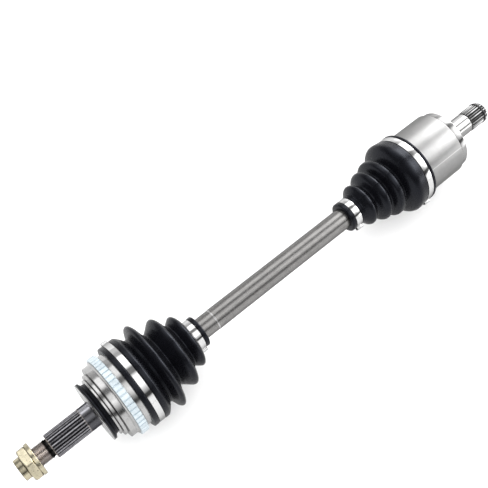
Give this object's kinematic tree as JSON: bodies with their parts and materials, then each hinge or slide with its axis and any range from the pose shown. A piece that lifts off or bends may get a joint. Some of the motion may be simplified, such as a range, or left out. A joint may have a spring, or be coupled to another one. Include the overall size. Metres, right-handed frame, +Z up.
{
  "type": "cv axle",
  "caption": "Front drive shaft with a ball joint at the wheel end and a plunging tripod joint at the gearbox end, bellows boots, clamps, toothed speed ring and axle nut.",
  "frame": {"origin": "centre of the flat end face of the wheel-side stub", "axes": "+X along the axle from the wheel-side stub towards the gearbox, +Z up with the first ball and the first tripod trunnion"},
  "size_m": [0.6844, 0.104, 0.104],
  "materials": {
    "race_steel": "machined steel, dark on the splined stub",
    "tone_steel": "pale satin plating",
    "shield_steel": "bright plated sheet",
    "seal_rubber": "matt black",
    "zinc": "pale yellow zinc plating",
    "bearing_steel": "hardened and ground",
    "ball_steel": "polished",
    "bar_steel": "ground and oiled, fine lines along the bar",
    "spring_steel": "black oxide spring steel",
    "boot_rubber": "satin black moulding",
    "clamp_steel": "bright stainless band",
    "housing_steel": "satin turned steel with a bright end step"
  },
  "bodies": {
    "shaft": {"shaft": "bar_steel", "inner_race": "bearing_steel", "race_circlip": "spring_steel", "tripod_spider": "bar_steel", "spider_circlip": "spring_steel", "needle_set_2": "bearing_steel", "needle_set_3": "bearing_steel", "roller_retainer_1": "spring_steel", "roller_retainer_2": "spring_steel", "roller_retainer_3": "spring_steel", "outer_boot_clamp_small": "clamp_steel", "inner_boot_clamp_small": "clamp_steel"},
    "upper_ball": {"ball_1": "ball_steel"},
    "cage": {"ball_cage": "bearing_steel", "ball_2": "ball_steel", "ball_3": "ball_steel", "ball_5": "ball_steel", "ball_6": "ball_steel", "outer_boot": "boot_rubber"},
    "lower_ball": {"ball_4": "ball_steel"},
    "wheel_stub": {"outer_race": "race_steel", "tone_ring": "tone_steel", "dust_shield": "shield_steel", "dust_seal": "seal_rubber", "outer_boot_clamp_large": "clamp_steel"},
    "washer": {"nut_washer": "zinc"},
    "nut": {"axle_nut": "zinc"},
    "tripod_tilt": {"needle_set_1": "bearing_steel"},
    "boot_carrier": {"inner_boot": "boot_rubber"},
    "housing": {"inner_housing": "housing_steel", "stub_circlip": "spring_steel", "inner_boot_clamp_large": "clamp_steel"},
    "roller_1": {"roller_1": "bearing_steel"},
    "roller_2": {"roller_2": "bearing_steel"},
    "roller_3": {"roller_3": "bearing_steel"}
  },
  "joints": [
    {"name": "outer_bend_y_shaft_half", "type": "hinge", "parent": "shaft", "child": "upper_ball", "pos_m": [0.13, 0, 0], "axis": [0, 1, 0], "range_deg": [-10, 10]},
    {"name": "outer_bend_z_shaft_half", "type": "hinge", "parent": "upper_ball", "child": "cage", "pos_m": [0.13, 0, 0], "axis": [0, 0, 1], "range_deg": [-14, 14], "deforming": ["outer_boot"]},
    {"name": "outer_bend_z", "type": "hinge", "parent": "cage", "child": "lower_ball", "pos_m": [0.13, 0, 0], "axis": [0, 0, 1], "range_deg": [-14, 14], "deforming": ["outer_boot"]},
    {"name": "outer_bend_y", "type": "hinge", "parent": "lower_ball", "child": "wheel_stub", "pos_m": [0.13, 0, 0], "axis": [0, 1, 0], "range_deg": [-10, 10], "deforming": ["outer_boot"]},
    {"name": "nut_travel", "type": "slide", "parent": "wheel_stub", "child": "washer", "axis": [1, 0, 0], "range_m": [-0.00152, 0.00602]},
    {"name": "nut_turn", "type": "hinge", "parent": "washer", "child": "nut", "pos_m": [0.0107, 0, 0], "axis": [1, 0, 0], "range_deg": [-360, 1440]},
    {"name": "inner_bend_z", "type": "hinge", "parent": "shaft", "child": "tripod_tilt", "pos_m": [0.561, 0, 0], "axis": [0, 0, 1], "range_deg": [-10, 10], "deforming": ["inner_boot"]},
    {"name": "inner_bend_y", "type": "hinge", "parent": "tripod_tilt", "child": "boot_carrier", "pos_m": [0.561, 0, 0], "axis": [0, 1, 0], "range_deg": [-14, 14], "deforming": ["inner_boot"]},
    {"name": "plunge", "type": "slide", "parent": "boot_carrier", "child": "housing", "axis": [1, 0, 0], "range_m": [-0.012, 0.012], "deforming": ["inner_boot"]},
    {"name": "roller_1_spin", "type": "hinge", "parent": "shaft", "child": "roller_1", "pos_m": [0.561, 0, 0.024], "axis": [0, 0, 1], "range_deg": [-44, 44]},
    {"name": "roller_2_spin", "type": "hinge", "parent": "shaft", "child": "roller_2", "pos_m": [0.561, -0.02079, -0.012], "axis": [0, -0.866, -0.5], "range_deg": [-44, 44]},
    {"name": "roller_3_spin", "type": "hinge", "parent": "shaft", "child": "roller_3", "pos_m": [0.561, 0.02079, -0.012], "axis": [0, 0.866, -0.5], "range_deg": [-44, 44]}
  ],
  "couplings": [
    {"joint": "outer_bend_y_shaft_half", "follows": "outer_bend_y", "ratio": 1},
    {"joint": "outer_bend_z_shaft_half", "follows": "outer_bend_z", "ratio": 1},
    {"joint": "nut_travel", "follows": "nut_turn", "m_per_rad": 0.00023873},
    {"joint": "roller_1_spin", "follows": "plunge", "rad_per_m": -62.5},
    {"joint": "roller_2_spin", "follows": "plunge", "rad_per_m": -62.5},
    {"joint": "roller_3_spin", "follows": "plunge", "rad_per_m": -62.5}
  ]
}
